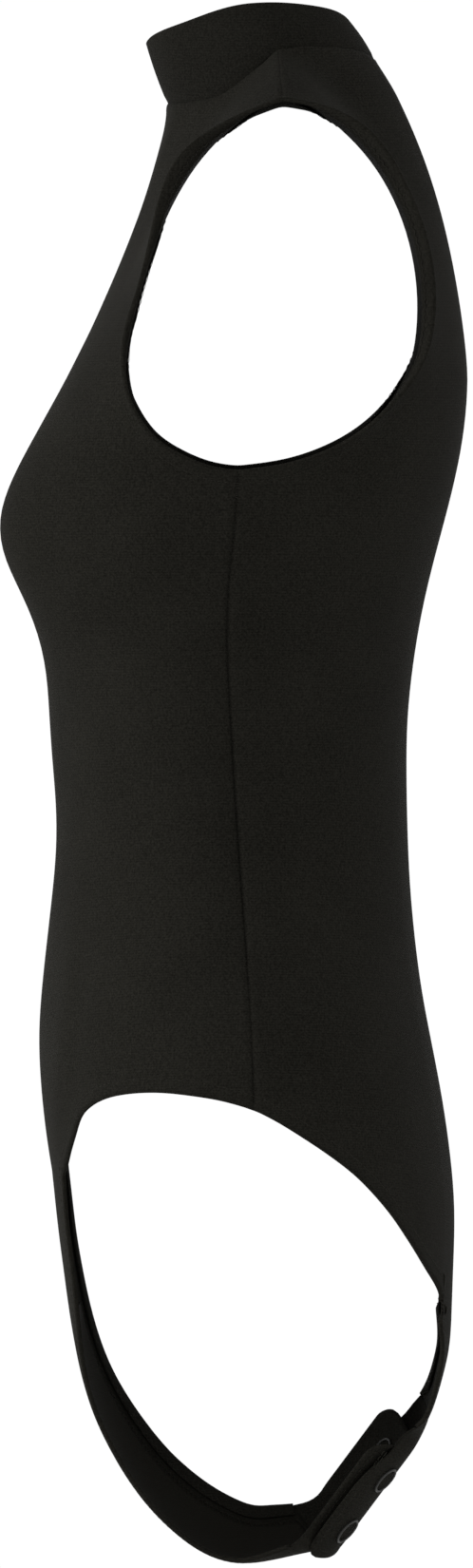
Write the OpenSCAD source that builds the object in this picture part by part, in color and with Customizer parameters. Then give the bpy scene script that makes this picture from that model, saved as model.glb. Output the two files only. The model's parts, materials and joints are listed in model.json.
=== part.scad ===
// High-cut sleeveless leotard with a folded mock-neck collar and a snap crotch, worn shape.
// Each cloth panel is a net of points between its cut edges, given the thickness of the jersey.

/* [Body] */
// Half width across the bust
bust_half = 141; // [130:1:150]
// Half width across the waist
waist_half = 116; // [105:1:122]
// Half width across the hips
hip_half = 163; // [152:1:170]
// How far each bust point stands out of the chest
bust_rise = 10; // [0:0.5:12]
// Thickness of the jersey
cloth_t = 1; // [0.7:0.1:1.2]

/* [Neck and shoulders] */
// Half width of the neckline
neck_half = 62; // [58:1:66]
// Half width of the collar at its rim
rim_half = 54; // [50:1:58]
// Distance from the middle of the body to the shoulder tip
shoulder_half = 121; // [115:1:127]
// Thickness of the folded collar
collar_t = 2.6; // [2:0.2:3]

/* [Hems and tapes] */
// Width of the turned hem at the armholes
arm_hem_w = 8; // [6:0.5:10]
// Width of the turned hem at the legs
leg_hem_w = 8; // [6:0.5:10]
// Width of the elastic in the leg hems
elastic_w = 6; // [4:0.5:7]
// Width of the elastic tape in the armhole hems
arm_tape_w = 5; // [4:0.5:7]
// Thickness of the elastic
elastic_t = 0.6; // [0.4:0.1:0.8]
// Width of the tape over each shoulder seam
shoulder_tape_w = 7; // [5:0.5:9]
// Width of the overlocked allowance inside each side seam
side_allow_w = 7; // [5:0.5:9]

/* [Snap closure] */
// Half width of the closure, measured round its curve
tab_half = 41; // [38:0.5:42]
// Thickness of the two turned layers at the closure
tab_t = 1.6; // [1.4:0.1:1.8]
// Outer diameter of a prong ring
ring_d = 15; // [13:0.5:16]
// Outer diameter of a socket
socket_d = 10.5; // [9:0.5:11]
// Diameter of the post of a stud
post_d = 3.4; // [3:0.1:3.6]
// Distance of each snap from the middle, measured round the curve
snap_out = 19; // [17:0.5:21]

/* [Hidden] */

$fn = 48;
cloth_colour = "#201f1c";
tape_colour = "#2c2b28";
metal_colour = "#77777a";

// Heights below are measured from the lowest point of the crotch. The model is then moved so
// that its origin is the middle of the neckline. The front is -Y and the wearer's left is +X.
neck_y = 17;
neck_z = 766;

// Net sizes: columns on each side of the middle, and rows by stretch.
cols = 16;
strip_cols = 3;
neck_cols = 9;
seam_rows = 12;
pit_rows = 5;
chest_rows = 8;
low_rows = seam_rows + pit_rows;
panel_rows = low_rows + chest_rows;
front_strip_rows = 16;
back_strip_rows = 6;

// Outlines of the worn body, each a list of [height, distance].
front_line = [[195, -93], [228, -98.5], [270, -101], [315, -96.5], [370, -91], [420, -95], [455, -97],
              [489, -106], [522, -118.5], [552, -114.5], [585, -94], [625, -70], [671, -50], [710, -40],
              [739, -36]];
back_line = [[120, 108], [155, 109.5], [187, 110], [240, 103], [289, 93], [341, 87], [386, 85.5],
             [432, 86], [491, 95], [550, 111.5], [600, 122.5], [648, 109], [700, 98.5], [739, 85],
             [761, 69]];
low_width = [[120, hip_half - 12], [190, hip_half], [230, hip_half], [285, hip_half - 13],
             [330, waist_half + 12], [380, waist_half], [430, waist_half + 2], [470, bust_half - 15],
             [522, bust_half], [554, bust_half]];
front_width = concat(low_width, [[570, bust_half + 5], [583, bust_half + 9], [597, bust_half + 16]]);
back_width = concat(low_width, [[566, bust_half + 9], [576, bust_half + 19], [592, bust_half + 36]]);
seam_line = [[120, 8], [234, 8], [287, 6], [356, 1], [417, -3], [480, -5], [546, 0], [600, 0]];
front_roundness = [[195, 2.3], [380, 2.2], [450, 2.4], [522, 2.8], [600, 2.6]];
back_roundness = [[120, 2.3], [380, 2.3], [600, 2.3]];

// Cut edges in side view, each a list of [Y, height] at even steps along the edge.
front_strip_top = 200;
back_strip_top = 125;
leg_top = 237;
pit_height = 554;
front_leg = [[-84, 216], [-80.5, 229], [-74, 237], [-64, 242], [-51, 244.5], [-37, 245], [-21, 243.5],
             [-6, 241], [8, leg_top]];
back_leg = [[103, 139], [95, 155], [85, 172], [73, 189], [59, 204], [42, 217], [25, 228], [8, leg_top]];
front_pit = [[2, pit_height], [-13.5, 556], [-28, 561.5], [-41.5, 570], [-51, 582], [-57, 597]];
back_pit = [[2, pit_height], [18.5, 556], [34, 559.5], [49.5, 565.5], [65, 575], [79.5, 589]];
front_arm = [[-57, 597], [-57.5, 620], [-51, 642], [-45, 665], [-39.5, 689], [-29, 711.5], [-10.5, 726],
             [7, 734.5], [22.5, 740]];
back_arm = [[79.5, 589], [93, 608], [98.5, 632], [97.5, 656], [91.5, 680], [81, 703.5], [66.5, 723.5],
            [45.5, 735.5], [22.5, 740]];
front_strip_turn = 21;
back_strip_turn = 21;
front_strip_lift = 1;
back_strip_lift = 2;

// Neckline: height by the angle round the neck from the front, and the collar rim above it.
neck_back = 69;
neck_front = -36;
neck_point_turn = 94;
neck_height = [[0, 739], [30, 739.5], [60, 743], [80, 755], [94, 766], [130, 767.5], [180, 761]];
rim_front = -46.5;
rim_back = 57;
rim_height = [[0, 769], [45, 777.5], [90, 788.5], [140, 786.5], [180, 778]];
collar_rows = 4;
collar_steps = 48;
collar_gap = 0.4;

// Closure: a band on the diagonal under the crotch, curled up at its edges and slightly skewed.
closure_at = [0, 67.3, 29];
closure_rise = 53.8;
closure_skew = -14;
closure_roll = 3;
layer_gap = 2.4;
tab_r = 44;
flap_r = tab_r + tab_t + layer_gap;
closure_r = flap_r + tab_t;
tab_start = -24;
tab_end = 40.5;
flap_end = -30;
flap_hinge = 46;
hinge_gap = 2;
corner_r = 10;
snap_rows = [-11.4, 22];
half_turn = 180 / PI;

// Crotch strips: the middle line [Y, height], then by tenths of the way [half width, curl, roll, skew].
front_path = [[-93.2, front_strip_top], [-90.5, 172], [-87, 144], [-82.5, 116], [-74.5, 88], [-62, 61.4],
              [-45, 36.8], [-23, 17.4], [1.5, 6], [27.5, 7], [49.2, 12.4]];
back_path = [[108, back_strip_top], [107, 111], [104, 97], [99.6, 82], [93.8, 66.6]];
front_half = [[0, 64], [0.12, 52], [0.25, 44], [0.5, 38], [0.8, 36], [1, tab_half]];
front_curl = [[0, 9], [0.12, 11], [0.25, 15], [0.4, 17], [0.6, 28], [0.8, 33],
              [1, tab_half / (tab_r + tab_t / 2) * half_turn]];
front_roll = [[0, 0], [0.25, 3], [0.5, 14], [0.75, 23], [0.88, 15], [1, closure_roll]];
front_skew = [[0, 0], [0.6, 0], [0.8, 3], [1, -closure_skew]];
back_half = [[0, 55], [0.5, 46], [1, tab_half]];
back_curl = [[0, 4], [0.5, 6], [0.8, 15], [1, tab_half / (flap_r + tab_t / 2) * half_turn]];
back_roll = [[0, 0], [0.5, 1], [1, closure_roll]];
back_skew = [[0, 0], [0.5, 4], [1, -closure_skew]];

// ---- small helpers -------------------------------------------------------------------------

function mix(a, b, t) = a + (b - a) * t;
function unit(v) = v / norm(v);
function ease(t) = t * t * (3 - 2 * t);
function bell(x, w) = exp(-x * x / (w * w));
function hermite(a, b, ta, tb, t) =
    let (t2 = t * t, t3 = t2 * t)
    a * (2 * t3 - 3 * t2 + 1) + ta * (t3 - 2 * t2 + t) + b * (3 * t2 - 2 * t3) + tb * (t3 - t2);

// Smooth value at x of a list of [x, value].
function slope(list, i) =
    let (a = max(i - 1, 0), b = min(i + 1, len(list) - 1))
    (list[b][1] - list[a][1]) / (list[b][0] - list[a][0]);
function stretch(list, x, i = 0) = i >= len(list) - 2 || x < list[i + 1][0] ? i : stretch(list, x, i + 1);
function at(list, x) =
    let (i = stretch(list, x), step = list[i + 1][0] - list[i][0], t = (x - list[i][0]) / step)
    hermite(list[i][1], list[i + 1][1], slope(list, i) * step, slope(list, i + 1) * step, t);

// Point at t from 0 to 1 along a smooth curve through evenly spaced points.
function point_slope(points, i) =
    let (a = max(i - 1, 0), b = min(i + 1, len(points) - 1)) (points[b] - points[a]) / (b - a);
function along(points, t) =
    let (n = len(points) - 1, k = t * n, i = min(floor(k), n - 1))
    hermite(points[i], points[i + 1], point_slope(points, i), point_slope(points, i + 1), k - i);
heading_step = 0.02;
function heading(points, t) =
    unit(along(points, min(t + heading_step, 1)) - along(points, max(t - heading_step, 0)));
function last(list) = list[len(list) - 1];

// ---- surface of the worn body --------------------------------------------------------------

// turn is 0 in the middle of the front or back and 90 at the side seam.
bust_height = 520;
bust_tall = 44;
bust_apart = 72;
bust_wide = 40;
hollow_depth = 0.35;
hollow_wide = 30;
function bust_shape(x, z) =
    bust_rise * bell(z - bust_height, bust_tall)
    * (bell(abs(x) - bust_apart, bust_wide) - hollow_depth * bell(x, hollow_wide));
function front_skin(turn, z) =
    let (n = 2 / at(front_roundness, z), seam = at(seam_line, z), s = sign(turn),
         x = at(front_width, z) * pow(sin(abs(turn)), n),
         y = seam - (seam - at(front_line, z)) * pow(max(cos(turn), 0), n))
    [s * x, y - bust_shape(x, z), z];
function back_skin(turn, z) =
    let (n = 2 / at(back_roundness, z), seam = at(seam_line, z), s = sign(turn),
         x = at(back_width, z) * pow(sin(abs(turn)), n),
         y = seam + (at(back_line, z) - seam) * pow(max(cos(turn), 0), n))
    [s * x, y, z];
function front_turn(p) =
    let (seam = at(seam_line, p[1]), k = (seam - p[0]) / (seam - at(front_line, p[1])))
    acos(pow(min(max(k, 0), 1), at(front_roundness, p[1]) / 2));
function back_turn(p) =
    let (seam = at(seam_line, p[1]), k = (p[0] - seam) / (at(back_line, p[1]) - seam))
    acos(pow(min(max(k, 0), 1), at(back_roundness, p[1]) / 2));

// A net between four edges, by the usual sum of its straight blends.
function patch(u, v, low, high, mid, side, p00, p10, p01, p11) =
    low * (1 - v) + high * v + mid * (1 - u) + side * u
    - p00 * (1 - u) * (1 - v) - p10 * u * (1 - v) - p01 * (1 - u) * v - p11 * u * v;

// Lower part of a panel, in [turn, height]: edges are the strip and leg, and the seam and armpit.
strip_u = strip_cols / cols;
seam_v = seam_rows / low_rows;
chest_z = 590;
function low_edge(u, leg, strip_top, corner) =
    u <= strip_u ? [corner[0] * u / strip_u, mix(strip_top, corner[1], pow(u / strip_u, 2))]
                 : along(leg, (u - strip_u) / (1 - strip_u));
function side_edge(v, pit) =
    v <= seam_v ? [90, mix(leg_top, pit_height, v / seam_v)] : along(pit, (v - seam_v) / (1 - seam_v));
function low_point(u, v, leg, pit, strip_top) =
    let (top = pit[pit_rows], corner = leg[0])
    patch(u, v, low_edge(u, leg, strip_top, corner), [top[0] * u, mix(chest_z, top[1], u)],
          [0, mix(strip_top, chest_z, v)], side_edge(v, pit),
          [0, strip_top], [90, leg_top], [0, chest_z], top);
front_leg_turns = concat([[front_strip_turn, front_strip_top + front_strip_lift]],
                         [for (p = front_leg) [p == last(front_leg) ? 90 : front_turn(p), p[1]]]);
back_leg_turns = concat([[back_strip_turn, back_strip_top + back_strip_lift]],
                        [for (p = back_leg) [p == last(back_leg) ? 90 : back_turn(p), p[1]]]);
front_pit_turns = [for (p = front_pit) [p == front_pit[0] ? 90 : front_turn(p), p[1]]];
back_pit_turns = [for (p = back_pit) [p == back_pit[0] ? 90 : back_turn(p), p[1]]];
function front_low(u, v) =
    let (q = low_point(u, v, front_leg_turns, front_pit_turns, front_strip_top)) front_skin(q[0], q[1]);
function back_low(u, v) =
    let (q = low_point(u, v, back_leg_turns, back_pit_turns, back_strip_top)) back_skin(q[0], q[1]);

// Upper part of a panel, in space: edges are the neckline and shoulder seam, and the armhole.
neck_u = neck_cols / cols;
function neck_point(turn) =
    let (mid = (neck_front + neck_back) / 2, half = (neck_back - neck_front) / 2)
    [neck_half * sin(turn), mid - half * cos(turn), at(neck_height, turn)];
shoulder_tip = [shoulder_half, last(front_arm)[0], last(front_arm)[1]];
shoulder_bow = 2.5;
function shoulder(t) =
    mix(neck_point(neck_point_turn), shoulder_tip, t) + [0, 0, shoulder_bow * sin(180 * t)];
function top_edge(u, neck_from) =
    u <= neck_u ? neck_point(mix(neck_from, neck_point_turn, u / neck_u))
                : shoulder((u - neck_u) / (1 - neck_u));
function arm_edge(arm, v, x0) =
    let (p = along(arm, v)) [mix(x0, shoulder_half, ease(v)), p[0], p[1]];
function front_mid(v) = let (z = mix(chest_z, neck_height[0][1], v)) [0, front_skin(0, z)[1], z];
function back_mid(v) = let (z = mix(chest_z, last(neck_height)[1], v)) [0, at(back_line, z), z];
function front_high(u, v) =
    let (side = front_low(1, 1))
    patch(u, v, front_low(u, 1), top_edge(u, 0), front_mid(v), arm_edge(front_arm, v, side[0]),
          front_mid(0), side, front_mid(1), shoulder_tip);
function back_high(u, v) =
    let (side = back_low(1, 1))
    patch(u, v, back_low(u, 1), top_edge(u, 180), back_mid(v), arm_edge(back_arm, v, side[0]),
          back_mid(0), side, back_mid(1), shoulder_tip);

function mirrored(p, s) = [s * p[0], p[1], p[2]];
function panel_row(j, front) =
    [for (i = [-cols : cols])
        let (u = abs(i) / cols, v = j <= low_rows ? j / low_rows : (j - low_rows) / chest_rows)
        mirrored(j <= low_rows ? (front ? front_low(u, v) : back_low(u, v))
                               : (front ? front_high(u, v) : back_high(u, v)), sign(i))];

// Stretched cloth evens out between its edges: each pass moves a point towards its neighbours.
settle_passes = 8;
settle_all = 0.1;
settle_chest = 0.6;
settle_rows = 2.8;
function settled(net, passes) =
    passes == 0 ? net
    : settled([for (j = [0 : len(net) - 1])
                  [for (i = [0 : len(net[j]) - 1])
                      j == 0 || i == 0 || j == len(net) - 1 || i == len(net[j]) - 1 ? net[j][i]
                      : let (pull = settle_all + settle_chest * bell(j - low_rows - 1, settle_rows))
                        mix(net[j][i], (net[j - 1][i] + net[j + 1][i] + net[j][i - 1] + net[j][i + 1]) / 4,
                            pull)]],
              passes - 1);
front_net = settled([for (j = [0 : panel_rows]) panel_row(j, true)], settle_passes);
back_net = settled([for (j = [0 : panel_rows]) panel_row(j, false)], settle_passes);

// ---- crotch strips -------------------------------------------------------------------------

// A section of a strip: across is -1 at the wearer's right edge and 1 at the left one.
end_turn_from = 0.8;
function frame_at(path, t, end_heading) =
    let (h = heading(path, t), w = ease(max(0, (t - end_turn_from) / (1 - end_turn_from))),
         m = unit(mix(h, end_heading, w)))
    [[0, m[0], m[1]], [0, -m[1], m[0]]];
function strip_point(path, end_heading, inward, t, across, half, curl, roll, skew, depth) =
    let (f = frame_at(path, t, end_heading), p = along(path, t), ahead = f[0], in_dir = f[1] * inward,
         a0 = cos(skew) * [1, 0, 0] - sin(skew) * inward * ahead,
         a = cos(roll) * a0 - sin(roll) * in_dir,
         b = cos(roll) * in_dir + sin(roll) * a0,
         r = half / curl * half_turn, k = curl * across)
    [0, p[0], p[1]] + a * (r - depth) * sin(k) + b * (r - (r - depth) * cos(k));
closure_heading = [cos(closure_rise), sin(closure_rise)];
function front_strip(t, across, depth = 0) =
    strip_point(front_path, closure_heading, 1, t, across, at(front_half, t), at(front_curl, t),
                at(front_roll, t), at(front_skew, t), depth);
function back_strip(t, across, depth = 0) =
    strip_point(back_path, -closure_heading, -1, t, across, at(back_half, t), at(back_curl, t),
                at(back_roll, t), at(back_skew, t), depth);

// Strip rows run on from the panel's lowest row, and take its shape where they meet.
function joined(p, start, own, t) = p + (start - own) * pow(1 - t, 3);
function strip_row(j, rows, net, front) =
    [for (i = [-strip_cols : strip_cols])
        let (t = j / rows, a = i / strip_cols)
        joined(front ? front_strip(t, a) : back_strip(t, a), net[0][cols + i],
               front ? front_strip(0, a) : back_strip(0, a), t)];
front_strip_net = [for (j = [0 : front_strip_rows]) strip_row(j, front_strip_rows, front_net, true)];
back_strip_net = [for (j = [0 : back_strip_rows]) strip_row(j, back_strip_rows, back_net, false)];

// ---- thickness -----------------------------------------------------------------------------

// Panels share one direction of thickness along each seam, so their edges meet face to face.
shoulder_slope = unit(shoulder_tip - neck_point(neck_point_turn));
function net_normal(net, j, i, s) =
    let (j0 = max(j - 1, 0), j1 = min(j + 1, len(net) - 1),
         i0 = max(i - 1, 0), i1 = min(i + 1, len(net[j]) - 1), last = len(net[j]) - 1,
         on_panel = last == 2 * cols, out = sign(i - cols),
         up = net[j1][i] - net[j0][i])
    on_panel && j <= seam_rows && (i == 0 || i == last) ? s * unit(cross([0, s * out, 0], up))
    : on_panel && j == len(net) - 1 && abs(i - cols) >= neck_cols
        ? unit([-out * shoulder_slope[2], 0, shoulder_slope[0]])
    : s * unit(cross(net[j][i1] - net[j][i0], up));
function inner_net(net, s, depth) =
    [for (j = [0 : len(net) - 1])
        [for (i = [0 : len(net[j]) - 1]) net[j][i] - depth * net_normal(net, j, i, s)]];
function flat_list(net) = [for (row = net) each row];

// A panel and its strip are one cut piece. The strip's first row is the middle of the panel's
// lowest row. Each cell is cut corner to corner, and the two halves of a panel mirror each other.
function panel_index(j, i) = j * (2 * cols + 1) + i;
function panel_cell(j, i, turned) =
    let (a = panel_index(j, i), b = panel_index(j, i + 1),
         c = panel_index(j + 1, i + 1), d = panel_index(j + 1, i))
    turned ? [b, c, d, a] : [a, b, c, d];
function strip_index(j, i, base) =
    j == 0 ? panel_index(0, cols - strip_cols + i) : base + (j - 1) * (2 * strip_cols + 1) + i;
function strip_cell(j, i, base, turned) =
    let (a = strip_index(j + 1, i, base), b = strip_index(j + 1, i + 1, base),
         c = strip_index(j, i + 1, base), d = strip_index(j, i, base))
    turned ? [b, c, d, a] : [a, b, c, d];
function quad(a, b, c, d, s) = s > 0 ? [[a, b, c], [a, c, d]] : [[a, c, b], [a, d, c]];
function piece_faces(rows, s) =
    let (base = (panel_rows + 1) * (2 * cols + 1),
         count = base + rows * (2 * strip_cols + 1),
         cells = concat(
             [for (j = [0 : panel_rows - 1]) for (i = [0 : 2 * cols - 1])
                 panel_cell(j, i, s > 0 ? i >= cols : i < cols)],
             [for (j = [0 : rows - 1]) for (i = [0 : 2 * strip_cols - 1])
                 strip_cell(j, i, base, s > 0 ? i >= strip_cols : i < strip_cols)]),
         rim = concat(
             [for (i = [0 : cols - strip_cols]) panel_index(0, i)],
             [for (j = [1 : rows]) strip_index(j, 0, base)],
             [for (i = [1 : 2 * strip_cols]) strip_index(rows, i, base)],
             [for (j = [rows - 1 : -1 : 0]) strip_index(j, 2 * strip_cols, base)],
             [for (i = [cols + strip_cols + 1 : 2 * cols]) panel_index(0, i)],
             [for (j = [1 : panel_rows]) panel_index(j, 2 * cols)],
             [for (i = [2 * cols - 1 : -1 : 0]) panel_index(panel_rows, i)],
             [for (j = [panel_rows - 1 : -1 : 1]) panel_index(j, 0)]))
    concat([for (c = cells) each quad(c[0], c[1], c[2], c[3], -s)],
           [for (c = cells) each quad(c[0] + count, c[1] + count, c[2] + count, c[3] + count, s)],
           [for (k = [0 : len(rim) - 1])
               let (a = rim[k], b = rim[(k + 1) % len(rim)]) each quad(a, b, b + count, a + count, s)]);
module cut_piece(net, strip, rows, s) {
    tail = [for (j = [1 : rows]) strip[j]];
    tail_inner = [for (j = [1 : rows]) inner_net(strip, -s, cloth_t)[j]];
    points = concat(flat_list(net), flat_list(tail),
                    flat_list(inner_net(net, s, cloth_t)), flat_list(tail_inner));
    polyhedron(points, piece_faces(rows, s));
}

// A closed solid between two nets of the same size. A ring joins its last row to its first.
function slab_faces(n, m, ring, s) =
    let (rows = ring ? n - 1 : n - 2, base = n * m,
         cells = [for (j = [0 : rows]) for (i = [0 : m - 2])
                     let (k = ((j + 1) % n) * m) [j * m + i, j * m + i + 1, k + i + 1, k + i]],
         sides = [for (j = [0 : rows]) for (e = [0, 1])
                     let (k = ((j + 1) % n) * m, i = e * (m - 1), a = j * m + i, b = k + i)
                     e == 0 ? [a, b, b + base, a + base] : [b, a, a + base, b + base]],
         ends = ring ? []
                : concat([for (i = [0 : m - 2]) [i + 1, i, i + base, i + 1 + base]],
                         [for (i = [0 : m - 2])
                             let (a = (n - 1) * m + i) [a, a + 1, a + 1 + base, a + base]]))
    concat([for (c = cells) each quad(c[0], c[1], c[2], c[3], s)],
           [for (c = cells) each quad(c[0] + base, c[1] + base, c[2] + base, c[3] + base, -s)],
           [for (c = concat(sides, ends)) each quad(c[0], c[1], c[2], c[3], s)]);
module slab(outer, inner, ring = false) {
    face = cross(outer[1][0] - outer[0][0], outer[0][1] - outer[0][0]);
    s = sign(face * (outer[0][0] - inner[0][0]));
    polyhedron(concat(flat_list(outer), flat_list(inner)), slab_faces(len(outer), len(outer[0]), ring, s));
}

// A hem or tape under a cut edge. The edge is a list of [point, normal, next point of the cloth].
// The inner side of the band is set deeper, because the cloth curves.
band_dip = 0.5;
function band_net(edge, from, width, depth, ring) =
    [for (k = [0 : len(edge) - 1])
        let (n = len(edge), before = ring ? (k + n - 1) % n : max(k - 1, 0),
             after = ring ? (k + 1) % n : min(k + 1, n - 1),
             run = unit(edge[after][0] - edge[before][0]), cloth = edge[k][2] - edge[k][0],
             in_dir = unit(cloth - run * (cloth * run)), start = edge[k][0] + in_dir * from)
        [start - edge[k][1] * depth, start + in_dir * width - edge[k][1] * (depth + band_dip)]];
module band(edge, from, width, depth, thick, ring = false)
    slab(band_net(edge, from, width, depth, ring), band_net(edge, from, width, depth + thick, ring), ring);

// The next point lies dj rows and di columns further into the cloth.
function edge_point(net, j, i, s, dj, di) = [net[j][i], net_normal(net, j, i, s), net[j + dj][i + di]];
function arm_edge_list(side) =
    let (i = side > 0 ? 2 * cols : 0)
    concat([edge_point(front_net, seam_rows, i, 1, -1, 0)],
           [for (j = [seam_rows + 1 : panel_rows]) edge_point(front_net, j, i, 1, 0, -side)],
           [for (j = [panel_rows - 1 : -1 : seam_rows + 1]) edge_point(back_net, j, i, -1, 0, -side)]);
function leg_edge_list(side) =
    let (strip_i = side > 0 ? 2 * strip_cols : 0,
         front = [for (j = [front_strip_rows : -1 : 1])
                     edge_point(front_strip_net, j, strip_i, -1, 0, -side)],
         front_curve = [for (i = [strip_cols : cols]) edge_point(front_net, 0, cols + side * i, 1, 1, 0)],
         back_curve = [for (i = [cols - 1 : -1 : strip_cols])
                          edge_point(back_net, 0, cols + side * i, -1, 1, 0)],
         back = [for (j = [1 : back_strip_rows]) edge_point(back_strip_net, j, strip_i, 1, 0, -side)])
    concat(front, front_curve, back_curve, back);
function seam_edge_list(side) =
    [for (j = [0 : seam_rows]) edge_point(back_net, j, side > 0 ? 2 * cols : 0, -1, 0, -side)];
function shoulder_edge_list(side) =
    [for (i = [neck_cols : cols]) edge_point(back_net, panel_rows, cols + side * i, -1, -1, 0)];

module placed() translate([0, -neck_y, -neck_z]) children();

module front_panel() color(cloth_colour) placed()
    cut_piece(front_net, front_strip_net, front_strip_rows, 1);
module back_panel() color(cloth_colour) placed()
    cut_piece(back_net, back_strip_net, back_strip_rows, -1);

// ---- collar: one band of cloth folded double, its fold at the rim --------------------------

function rim_point(turn) =
    let (mid = (rim_front + rim_back) / 2, half = (rim_back - rim_front) / 2)
    [rim_half * sin(turn), mid - half * cos(turn), at(rim_height, turn)];
collar_bow = 1.5;
function collar_point(turn, k, depth) =
    let (t = turn > 180 ? 360 - turn : turn, base = neck_point(t) + [0, 0, collar_gap],
         p = mix(base, rim_point(t), k), out = [sin(t), -cos(t), 0],
         q = p + out * (collar_bow * sin(180 * k) - depth))
    turn > 180 ? mirrored(q, -1) : q;
function collar_net(depth) =
    [for (a = [0 : collar_steps - 1])
        [for (k = [0 : collar_rows]) collar_point(360 * a / collar_steps, k / collar_rows, depth)]];
module collar() color(cloth_colour) placed() slab(collar_net(0), collar_net(collar_t), true);

// ---- hems, tapes and lining ----------------------------------------------------------------

hem_t = 0.7;
layer_step = 0.6;
hem_depth = cloth_t + layer_step;
tape_depth = hem_depth + hem_t + layer_step;
edge_inset = 0.5;
tape_inset = 1.5;
module armhole_hem(side) color(cloth_colour) placed()
    band(arm_edge_list(side), edge_inset, arm_hem_w, hem_depth, hem_t, true);
module armhole_tape(side) color(tape_colour) placed()
    band(arm_edge_list(side), tape_inset, arm_tape_w, tape_depth, elastic_t, true);
module leg_hem(side) color(cloth_colour) placed()
    band(leg_edge_list(side), edge_inset, leg_hem_w, hem_depth, hem_t);
module leg_elastic(side) color(tape_colour) placed()
    band(leg_edge_list(side), tape_inset, elastic_w, tape_depth, elastic_t);

// Seam tapes stop short of the hems at each end.
function middle_of(list, skip_start, skip_end) =
    [for (k = [skip_start : len(list) - 1 - skip_end]) list[k]];
module shoulder_tape(side) color(tape_colour) placed()
    band(middle_of(shoulder_edge_list(side), 1, 2), 0, shoulder_tape_w, hem_depth, elastic_t);
module side_allowance(side) color(cloth_colour) placed()
    band(middle_of(seam_edge_list(side), 1, 1), 0, side_allow_w, hem_depth, hem_t);

// The lining covers the middle columns of the strip from lining_from to lining_to.
lining_from = 4;
lining_to = 15;
lining_depth = cloth_t + layer_step;
lining_t = 0.8;
function lining_net(depth) =
    let (net = inner_net(front_strip_net, -1, depth))
    [for (j = [lining_from : lining_to]) [for (i = [1 : 2 * strip_cols - 1]) net[j][i]]];
module gusset_lining() color(cloth_colour) placed()
    slab(lining_net(lining_depth), lining_net(lining_depth + lining_t));

// ---- snap closure --------------------------------------------------------------------------

module closure_frame() placed() translate(closure_at) rotate([closure_rise, 0, 0])
    rotate([0, 0, closure_skew]) rotate([0, closure_roll, 0]) children();

// An arc of cloth that runs along +Y from start to end, with round corners at its free end.
module curled_tab(r, start, end, free_end) {
    reach = tab_half / (r + tab_t / 2) * half_turn;
    far = 2 * r;
    wide = (r + tab_t) * sin(reach);
    free_dir = sign(free_end - (start + end) / 2);
    fixed_end = free_dir > 0 ? start : end;
    shoulder_y = free_end - free_dir * corner_r;
    intersection() {
        translate([0, end, closure_r]) rotate([90, 0, 0]) linear_extrude(end - start)
            intersection() {
                difference() {
                    circle(r + tab_t, $fn = 96);
                    circle(r, $fn = 96);
                }
                polygon([[0, 0], [-far * sin(reach), -far * cos(reach)], [0, -far],
                         [far * sin(reach), -far * cos(reach)]]);
            }
        linear_extrude(2 * closure_r, center = true) union() {
            translate([-wide - over, min(fixed_end, shoulder_y)])
                square([2 * (wide + over), abs(shoulder_y - fixed_end)]);
            translate([-wide + corner_r, min(free_end, shoulder_y)])
                square([2 * (wide - corner_r), corner_r]);
            for (s = [-1, 1]) translate([s * (wide - corner_r), shoulder_y]) circle(corner_r);
        }
    }
}
module front_tab() color(cloth_colour) closure_frame()
    curled_tab(tab_r, tab_start + hinge_gap, tab_end, tab_end);
module back_flap() color(cloth_colour) closure_frame()
    curled_tab(flap_r, flap_end, flap_hinge - hinge_gap, flap_end);

// The snaps are numbered from the lower row, the wearer's right one first. In a snap's own frame
// the axis is Z, the body is towards +Z and the middle of the curl is at the origin.
snap_turn = snap_out / (tab_r + tab_t / 2) * half_turn;
function snap_row(n) = snap_rows[n > 2 ? 1 : 0];
function snap_side(n) = n % 2 == 0 ? 1 : -1;
module at_snap(n) closure_frame() translate([0, snap_row(n), closure_r])
    rotate([0, -snap_side(n) * snap_turn, 0]) children();

socket_h = 1.3;
bore_d = 4.4;
wire = 1.2;
stud_base_d = 9.5;
stud_base_t = 0.5;
stud_lift = 0.3;
post_h = 1.25;
ring_lift = 0.65;
ring_clear = 0.1;
over = 1;
module socket() difference() {
    cylinder(d = socket_d, h = socket_h);
    translate([0, 0, -over]) cylinder(d = bore_d, h = socket_h + 2 * over);
}
module prong_ring() rotate_extrude() translate([(ring_d - wire) / 2, 0]) circle(d = wire, $fn = 24);
module stud() {
    cylinder(d = stud_base_d, h = stud_base_t);
    translate([0, 0, stud_base_t]) cylinder(d = post_d, h = post_h);
}
module snap_socket(n) color(metal_colour) at_snap(n) translate([0, 0, -tab_r - tab_t - socket_h]) socket();
module socket_ring(n) color(metal_colour) at_snap(n)
    translate([0, 0, -tab_r + ring_lift + wire / 2]) prong_ring();
module snap_stud(n) color(metal_colour) at_snap(n) translate([0, 0, -flap_r + stud_lift]) stud();
module stud_ring(n) color(metal_colour) at_snap(n)
    translate([0, 0, -closure_r - wire / 2 - ring_clear]) prong_ring();

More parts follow.
